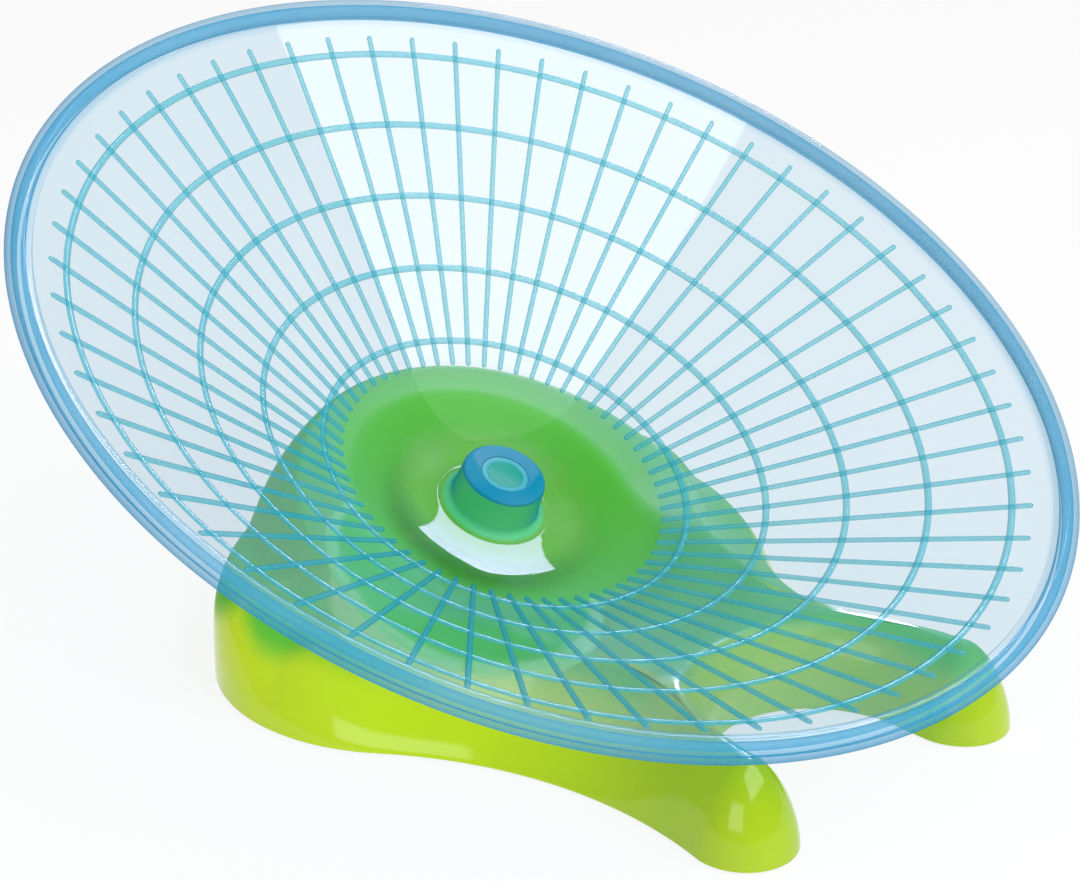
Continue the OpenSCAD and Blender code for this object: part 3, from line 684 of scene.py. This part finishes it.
def dishProfile():
    # the closed section (r, z) of the moulding, with its share of body, colour and gloss at each point
    drop = dishWall["thickness"] / math.cos(dishWall["slope"])
    slope, half = math.degrees(dishWall["slope"]), dishWall["thickness"] / 2
    beadAt = dish["rimRadius"] - dish["beadRadius"]
    bead = (beadAt, wallHeight(beadAt) - drop / 2)
    # hub, down its drafted side to the floor
    beside = lambda depth: underHub(dish["hubTopRadius"] + depth * dish["hubDraft"], depth)
    sideStart, foot = dish["hubSideStart"], dish["hubFootRadius"] - dish["collarInset"]
    floorStart = dish["hubFootRadius"] + dish["hubFillet"]
    hubLine = roundedLine([underHub(dish["capRadius"], 0),
                           underHub(dish["hubTopRadius"], 0, dish["hubRound"]), beside(3 * sideStart)])[:-1]
    hubSide = roundedLine([beside(sideStart),
                           (foot, floorMiddle + dish["hubFootRise"], dish["hubFootRound"]),
                           (floorStart, floorHeight(floorStart), 0)])[:-1]
    # floor and wall, out along the top and back along the underside
    r = np.linspace(floorStart, dishWall["floorRadius"], dish["floorPoints"])
    wall = np.linspace(dishWall["floorRadius"], beadAt - dish["beadBlend"], dish["wallPoints"])[1:]
    floorTop, wallTop = np.stack([r, floorHeight(r)], -1), np.stack([wall, wallHeight(wall)], -1)
    floorUnder, wallUnder = floorTop[::-2] - [0, drop], wallTop[::-2] - [0, drop]
    # the bead is a hook of an outer arc, a round lip and an inner arc
    curl, lipEnd = dish["beadRadius"] - dish["beadWall"], dish["lipEnd"]
    wallAngle = lambda radius: math.degrees(math.asin(half / radius))
    rimStart = 180 + slope - wallAngle(dish["beadRadius"])
    rimTop = arcPoints(bead, dish["beadRadius"], rimStart, lipEnd, dish["rimSteps"])
    between, turn = (dish["beadRadius"] + curl) / 2, math.radians(lipEnd)
    lipMiddle = (beadAt + between * math.cos(turn), between * math.sin(turn))
    lip = arcPoints(lipMiddle, (dish["beadRadius"] - curl) / 2, lipEnd, lipEnd - 180, dish["lipSteps"])[1:-1]
    rimUnder = arcPoints(bead, curl, lipEnd, 180 + slope + wallAngle(curl), dish["curlSteps"])
    # collar, and up inside it
    filletDrop, filletRound = dish["collarFillet"]
    outerRound, innerRound = dish["collarRounds"]
    collar = roundedLine([(dish["hubFootRadius"] + dish["collarInset"], floorMiddle - drop, 0),
                          (foot, floorMiddle - drop - filletDrop, filletRound),
                          underHub(foot, dish["collarDepth"], outerRound),
                          underHub(dish["boreRadius"], dish["collarDepth"], innerRound),
                          underHub(dish["boreRadius"], dish["collarTop"])])
    socketCorners = (("boreRadius", "socketFoot"), ("boreRadius", "boreTop"), ("washerRadius", "boreTop"),
                     ("washerRadius", "washerTop"), ("capBore", "washerTop"), ("capBore", "capSeat"),
                     ("capRadius", "capSeat"))
    socket = roundedLine([underHub(dish[radius], dish[depth]) for radius, depth in socketCorners])
    stretches = [(hubLine, "hub"), (hubSide, "hubSide"), (floorTop, "floor"), (wallTop, "wall"),
                 (rimTop, "bead"), (lip, "bead"), (rimUnder, "bead"), (wallUnder, "wall"),
                 (floorUnder, "floor"), (collar, "collar"), (socket, "hub")]
    profile = np.concatenate([line for line, name in stretches])
    names = np.repeat([name for line, name in stretches], [len(line) for line, name in stretches])
    body, gloss = [np.array([dish[name][k] for name in names]) for k in (0, 2)]
    tint = np.array([linear(dish[name][1]) for name in names])
    # next to the hub the floor is as full of body as the hub, in the painted green of the base seen through
    # it, and hides the bearings
    root = np.where(names == "floor", ramp(profile[:, 0], dish["rootRadii"]), 0)
    # painted highlight: the side of the bead that faces the axis is paler than its outer side
    start = len(hubLine) + len(hubSide) + len(floorTop) + len(wallTop)
    inner = np.zeros(len(profile))
    inner[start:start + len(rimTop)] = ramp(np.linspace(0, 1, len(rimTop)), dish["beadChange"])
    for share, (otherBody, otherTint) in ((root, dish["root"]), (inner, dish["beadHighlight"])):
        body = body + (otherBody - body) * share
        tint = tint + (np.array([linear(otherTint)]) - tint) * share[:, None]
    return profile, body, tint, gloss


def buildDish(material):
    # the section carried round the spin axis
    profile, body, tint, gloss = dishProfile()
    count = dish["steps"]
    points, quads = turned(profile, count)
    values = {"body": np.tile(body, count), "tint": np.tile(tint, (count, 1)),
              "gloss": np.tile(gloss, count)}
    piece = makePiece("dishMoulding", points, quads, "dish", material, values,
                      dish["sharpAngle"])
    piece.visible_glossy = False     # mirrored rays pass it, so the floor of the dish mirrors the softbox
    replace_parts(piece, "running_dish")
    return piece


dishMoulding = buildDish(plasticLook("clearBluePlastic", dish["look"]))
print("dish moulded,", len(dishMoulding.data.polygons), "faces")

# Treads: half-round bars with round ends, crossed by half-round rings
treads = {
    "count": 60, "phase": 3.0, "inner": 47.0, "outer": 137.0, "barWidth": 1.5, "barHeight": 1.0,
    "ringCount": 5, "ringRadius": 132.0, "ringPitch": 19.6, "ringWidth": 2.0, "ringHeight": 0.8,
    "crown": 0.8, "lift": 0.02,     # power of the section's sine, and its height over the wall in mm
    "endPoints": 6, "barPoints": 8, "sectionPoints": 9, "steps": 360, "sharpAngle": 60.0,
    "body": 0.34, "colour": (50, 185, 200), "gloss": 0.12,
    "look": {"edgeGain": 0.9, "edgeShare": 0.9, "edgeTint": (0, 140, 170), "roughness": 0.12,
             "seenThrough": (0.9, 0.98, 1.0, 1)},
}


def buildTreads(material):
    # bar: s runs along it and f over it; its half width shrinks as the root of 1 - e^2 at both ends
    slopeCos, slopeSin = math.cos(dishWall["slope"]), math.sin(dishWall["slope"])
    w, count = treads["barWidth"] / 2, treads["sectionPoints"]
    length = (treads["outer"] - treads["inner"]) / slopeCos
    ends = np.sin(np.linspace(-np.pi / 2, 0, treads["endPoints"]))
    middle = np.linspace(w, length - w, treads["barPoints"] + 2)[1:-1]
    s = np.concatenate([w + w * ends, middle, length - w - w * ends[::-1]])
    e = np.clip(np.concatenate([-ends, 0 * middle, -ends[::-1]]), 0, 1)
    size = np.sqrt(np.maximum(1 - e * e, 0))
    f = np.linspace(0, np.pi, count)
    arch = np.sin(f) ** treads["crown"]
    across = np.cos(f)[None, :] * w * size[:, None]
    up = arch[None, :] * treads["barHeight"] * np.sqrt(size)[:, None] + treads["lift"]
    along = s[:, None] + 0 * across
    r = treads["inner"] + along * slopeCos - up * slopeSin
    z = wallHeight(treads["inner"]) + along * slopeSin + up * slopeCos
    number = np.arange(treads["count"])[:, None, None]
    a = np.radians(treads["phase"] + number * 360.0 / treads["count"])
    bars = np.stack([r * np.cos(a) - across * np.sin(a), r * np.sin(a) + across * np.cos(a), z + 0 * a], -1)
    barQuads = (number * len(s) * count + gridQuads(len(s), count, False, True)[None]).reshape(-1, 4)
    # ring: the same half-round section at a fixed distance along the wall, carried round the axis
    across, up = np.cos(f) * treads["ringWidth"] / 2, arch * treads["ringHeight"] + treads["lift"]
    rings = []
    for radius in treads["ringRadius"] - np.arange(treads["ringCount"]) * treads["ringPitch"]:
        outwards = radius + across * slopeCos - up * slopeSin
        upwards = wallHeight(radius) + across * slopeSin + up * slopeCos
        rings.append(turned(np.stack([outwards, upwards], -1), treads["steps"], place=lambda p: p))
    points, quads = joined([(bars, barQuads), *rings])
    values = {key: np.full(len(points), treads[key]) for key in ("body", "gloss")}
    values["tint"] = np.tile(linear(treads["colour"]), (len(points), 1))
    piece = makePiece("treadLattice", fromDish(points), quads, "dish", material, values,
                      treads["sharpAngle"])
    piece.visible_glossy = False
    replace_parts(piece, "tread_grid")
    return piece


treadLattice = buildTreads(plasticLook("treadPlastic", treads["look"]))
print("treads moulded,", len(treadLattice.data.polygons), "faces")

# Hub cap: a disc with a shallow hollow in its face and a clip under it; depths are under the hub's top
cap = {
    "radius": 6.9, "round": 0.4,
    "hollowEdge": 5.5, "hollowRadius": 5.0, "hollowDepth": 0.4, "hollowRound": 0.3,
    "skirtInner": 4.9, "skirtOuter": 5.9, "skirtTip": 5.7, "skirtDepth": 3.6,
    "clipRadius": 6.25, "clipDepth": 2.7, "clipTop": 2.2, "clipRound": 0.2,
    "steps": 96, "sharpAngle": 40.0, "highlightFrom": 5.2,
    # ring is the painted highlight on the cap's rim, and middle the painted view of the base through the cap
    "body": 0.97, "gloss": 0.02, "middle": (40, 158, 145), "ring": (74, 172, 188),
    "look": {"edgeGain": 0.5, "edgeShare": 0.3, "edgeTint": (0, 140, 190), "roughness": 0.08,
             "seenThrough": (0.9, 0.98, 1.0, 1)},
}


def buildCap(material):
    # the section carried round the spin axis; its rim is a painted highlight, paler than its middle, whose
    # teal is a painted view of the green base through the cap
    seat, clipRound = dish["capSeat"], cap["clipRound"]
    corners = [(0, seat), (cap["skirtInner"], seat), (cap["skirtInner"], cap["skirtDepth"]),
               (cap["skirtTip"], cap["skirtDepth"], clipRound),
               (cap["clipRadius"], cap["clipDepth"], clipRound),
               (cap["skirtOuter"], cap["clipTop"], clipRound), (cap["skirtOuter"], seat),
               (cap["radius"], seat), (cap["radius"], 0, cap["round"]), (cap["hollowEdge"], 0, cap["round"]),
               (cap["hollowRadius"], cap["hollowDepth"], cap["hollowRound"]), (0, cap["hollowDepth"])]
    profile = roundedLine([underHub(*corner) for corner in corners])
    points, quads = turned(profile, cap["steps"])
    tint = np.where(profile[:, :1] > cap["highlightFrom"], linear(cap["ring"]), linear(cap["middle"]))
    values = {key: np.full(points.shape[:2], cap[key]) for key in ("body", "gloss")}
    values["tint"] = np.tile(tint, (cap["steps"], 1))
    piece = makePiece("capDisc", points, quads, "dish", material, values, cap["sharpAngle"])
    piece.visible_glossy = False
    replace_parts(piece, "hub_cap")


buildCap(plasticLook("capPlastic", cap["look"]))

# Rubber feet, turned about upright axes
feet = {
    "radius": 7.5, "round": 0.8, "pad": 3.0, "padRound": 0.3,
    "plugRadius": 2.5, "plug": 7.0, "plugRound": 0.6, "steps": 64,
    "colour": (52, 52, 55), "tone": (74, 74, 78), "roughness": 0.7,
    "flow": {"Cloud Scale": 120, "Ripple Scale": 2500}, "bump": {"Strength": 0.2, "Distance": 0.0002},
}


def rubberMaterial():
    # dark rubber with a paler bloom and a fine grain
    material, tree, shader = newMaterial("footRubber", {"Roughness": feet["roughness"]})
    marks = flowMarks(tree, feet["flow"])
    bloom = remap(tree, marks["Cloud"], noiseSpan, (0, 1))
    colour = blendColours(tree, bloom, linear(feet["colour"]), linear(feet["tone"]))
    feed(tree, shader.inputs["Base Color"], colour)
    bump = addNode(tree, "ShaderNodeBump", Height=marks["Ripple"], **feet["bump"])
    feed(tree, shader.inputs["Normal"], bump.outputs["Normal"])
    return material


def buildFeet(material):
    # a round pad with a plug above it, at each of the four places
    radius, plug, total = feet["radius"], feet["plugRadius"], feet["pad"] + feet["plug"]
    profile = roundedLine([(0, 0, 0), (radius, 0, feet["round"]), (radius, feet["pad"], feet["padRound"]),
                           (plug, feet["pad"], 0), (plug, total, feet["plugRound"]), (0, total, 0)])
    for node, (x, y) in footPlaces.items():
        middle = np.array([x, y, 0.0])
        points, quads = turned(profile, feet["steps"], place=lambda p: p + middle, closed=False)
        name = "rubberFoot" + "".join(word.capitalize() for word in node.split("_")[1:])
        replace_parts(makePiece(name, points, quads, "base", material), node)


buildFeet(rubberMaterial())
print("cap and feet made")

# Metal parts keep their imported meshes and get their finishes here
metals = {
    "axle_steel": {"colour": (196, 196, 200), "tone": (150, 150, 156), "roughness": 0.28, "scale": 900.0},
    "plated_steel": {"colour": (205, 205, 208), "tone": (170, 172, 178), "roughness": 0.32, "scale": 500.0},
    "race_steel": {"colour": (215, 215, 220), "tone": (180, 180, 186), "roughness": 0.12, "scale": 1200.0},
    "ball_steel": {"colour": (225, 225, 228), "tone": (205, 205, 210), "roughness": 0.06, "scale": 300.0},
    "shield_steel": {"colour": (180, 180, 184), "tone": (150, 150, 156), "roughness": 0.35, "scale": 800.0},
    "cage_brass": {"colour": (205, 170, 90), "tone": (170, 130, 60), "roughness": 0.3, "scale": 600.0},
}
turning = {"squeeze": (0.15, 0.15, 1.0), "detail": 3.0, "roughness": (0.8, 1.3)}


def metalMaterial(slot, look):
    # turning marks run round the axis, so the noise is squeezed along it
    material, tree, shader = newMaterial(slot.title().replace("_", ""), {"Metallic": 1.0})
    place = tree.nodes.new("ShaderNodeTexCoord")
    squeezed = addNode(tree, "ShaderNodeMapping", Vector=place.outputs["Object"],
                       Rotation=(-spinFrame["tilt"], 0, 0), Scale=turning["squeeze"])
    noise = addNode(tree, "ShaderNodeTexNoise", Vector=squeezed.outputs["Vector"], Scale=look["scale"],
                    Detail=turning["detail"]).outputs["Fac"]
    share = remap(tree, noise, noiseSpan, (0, 1))
    colour = blendColours(tree, share, linear(look["colour"]), linear(look["tone"]))
    feed(tree, shader.inputs["Base Color"], colour)
    rough = remap(tree, noise, noiseSpan, [look["roughness"] * k for k in turning["roughness"]])
    feed(tree, shader.inputs["Roughness"], rough)
    return material


metalMaterials = {slot: metalMaterial(slot, look) for slot, look in metals.items()}
for part in frame["record"]["subparts"]:
    if part["material_slot"] in metalMaterials:
        packed = nodes[part["node"]]
        packed.visible_glossy = False
        packed.data.materials.clear()
        packed.data.materials.append(metalMaterials[part["material_slot"]])
print("metal finishes set")

# Stage: pale floor, soft lamps and a white surround
stage = {
    "floorHalf": 6.0, "floorColour": (250, 250, 250), "floorGlow": 0.86, "surround": 0.45,
    # place, aim, width, height and the light that a square metre gives off, where 1 shows as white
    "lamps": [
        ((0.10, -0.95, 1.30), (0, 0, 0.05), 1.9, 1.2, 3.0),
        ((-1.5, -0.7, 0.55), (0, 0, 0.05), 1.0, 0.6, 2.2),
    ],
    # a softbox cut to a shape: azimuth and elevation of its corners in degrees, seen from the dish's middle
    "kite": {"corners": [(9, 50), (14, 52), (21, 50), (28, 45), (37, 35), (33, 19), (20, 24), (13, 40),
                         (9.5, 46)],
             "away": 3.0, "colour": (0.85, 0.75, 1.3, 1), "strength": 34.0},
}


def stageCard(name, corners, material):
    # one flat face that isn't part of the object
    mesh = bpy.data.meshes.new(name)
    mesh.from_pydata(corners, [], [tuple(range(len(corners)))])
    mesh.materials.append(material)
    card = bpy.data.objects.new(name, mesh)
    scene.collection.objects.link(card)
    return card


def buildFloor():
    # paper that catches light and shadow, and glows for the view and for mirrored rays
    material = bpy.data.materials.new("floorPaper")
    tree = emptyTree(material)
    paper = addNode(tree, "ShaderNodeBsdfDiffuse", Color=linear(stage["floorColour"]))
    glow = addNode(tree, "ShaderNodeEmission", Color=white, Strength=1.0)
    seen = rayShare(tree, "Camera", "Glossy", "Transmission")
    share = arithmetic(tree, "MULTIPLY", seen, stage["floorGlow"])
    addNode(tree, "ShaderNodeOutputMaterial", Surface=mixShaders(tree, share, paper, glow).outputs[0])
    half = stage["floorHalf"]
    stageCard("floor", [(-half, -half, 0), (half, -half, 0), (half, half, 0), (-half, half, 0)], material)


def buildSurround():
    # white where the view meets it, and dimmer as a source of light
    scene.world = bpy.data.worlds.new("surround")
    tree = emptyTree(scene.world)
    lighting = addNode(tree, "ShaderNodeBackground", Color=white, Strength=stage["surround"])
    shown = addNode(tree, "ShaderNodeBackground", Color=white, Strength=1.0)
    mix = mixShaders(tree, rayShare(tree, "Camera", "Transmission"), lighting, shown)
    addNode(tree, "ShaderNodeOutputWorld", Surface=mix.outputs[0])


def buildLamps():
    # flat lamps, whose radiance is watts / (pi area)
    for k, (place, target, width, height, brightness) in enumerate(stage["lamps"]):
        data = bpy.data.lights.new("softbox%d" % k, "AREA")
        data.shape = "RECTANGLE"
        data.size, data.size_y = width, height
        data.energy = brightness * math.pi * width * height
        aim(bpy.data.objects.new(data.name, data), place, Vector(target) - Vector(place))


def buildKite():
    # x = d cos e cos a, y = d cos e sin a, z = d sin e
    kite = stage["kite"]
    a, e = np.radians(np.array(kite["corners"], float)).T
    corners = kite["away"] * np.stack([np.cos(e) * np.cos(a), np.cos(e) * np.sin(a), np.sin(e)], -1)
    material = bpy.data.materials.new("softboxGlow")
    tree = emptyTree(material)
    glow = addNode(tree, "ShaderNodeEmission", Color=kite["colour"], Strength=kite["strength"])
    addNode(tree, "ShaderNodeOutputMaterial", Surface=glow.outputs[0])
    stageCard("kiteSoftbox", corners.tolist(), material).visible_diffuse = False


buildFloor()
buildSurround()
buildLamps()
buildKite()
print("stage lit")
